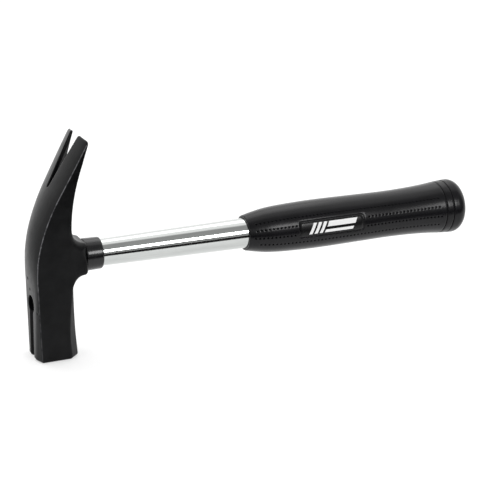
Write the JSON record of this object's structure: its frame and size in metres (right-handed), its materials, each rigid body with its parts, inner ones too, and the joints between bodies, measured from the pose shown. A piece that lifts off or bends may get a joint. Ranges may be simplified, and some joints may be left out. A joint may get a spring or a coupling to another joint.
{
  "type": "claw hammer",
  "caption": "Roofing claw hammer with a forged black head, straight split claw, magnetic nail holder, chromed steel tube handle and black moulded grip.",
  "frame": {"origin": "centre of the square striking face", "axes": "+Z from the striking face up to the claw tips, +X along the handle away from the head, +Y across the head; the object is mirror symmetric about y = 0 except for the turn of the grip"},
  "size_m": [0.3228, 0.0412, 0.149],
  "materials": {
    "head_black": "satin black lacquer over forged steel, ground front face",
    "magnet_nickel": "nickel plated",
    "collar_black": "glossy moulded plastic",
    "tube_chrome": "bright chrome plate",
    "plug_steel": "turned steel",
    "grip_black": "satin soft vinyl with moulded dimples",
    "plug_plastic": "matte moulded",
    "label_print": "thin printed foil"
  },
  "bodies": {
    "root": {"head": "head_black", "nail_magnet": "magnet_nickel", "neck_collar": "collar_black", "handle_tube": "tube_chrome", "head_plug": "plug_steel", "grip": "grip_black", "butt_plug": "plug_plastic", "left_label": "label_print", "right_label": "label_print"}
  },
  "joints": []
}
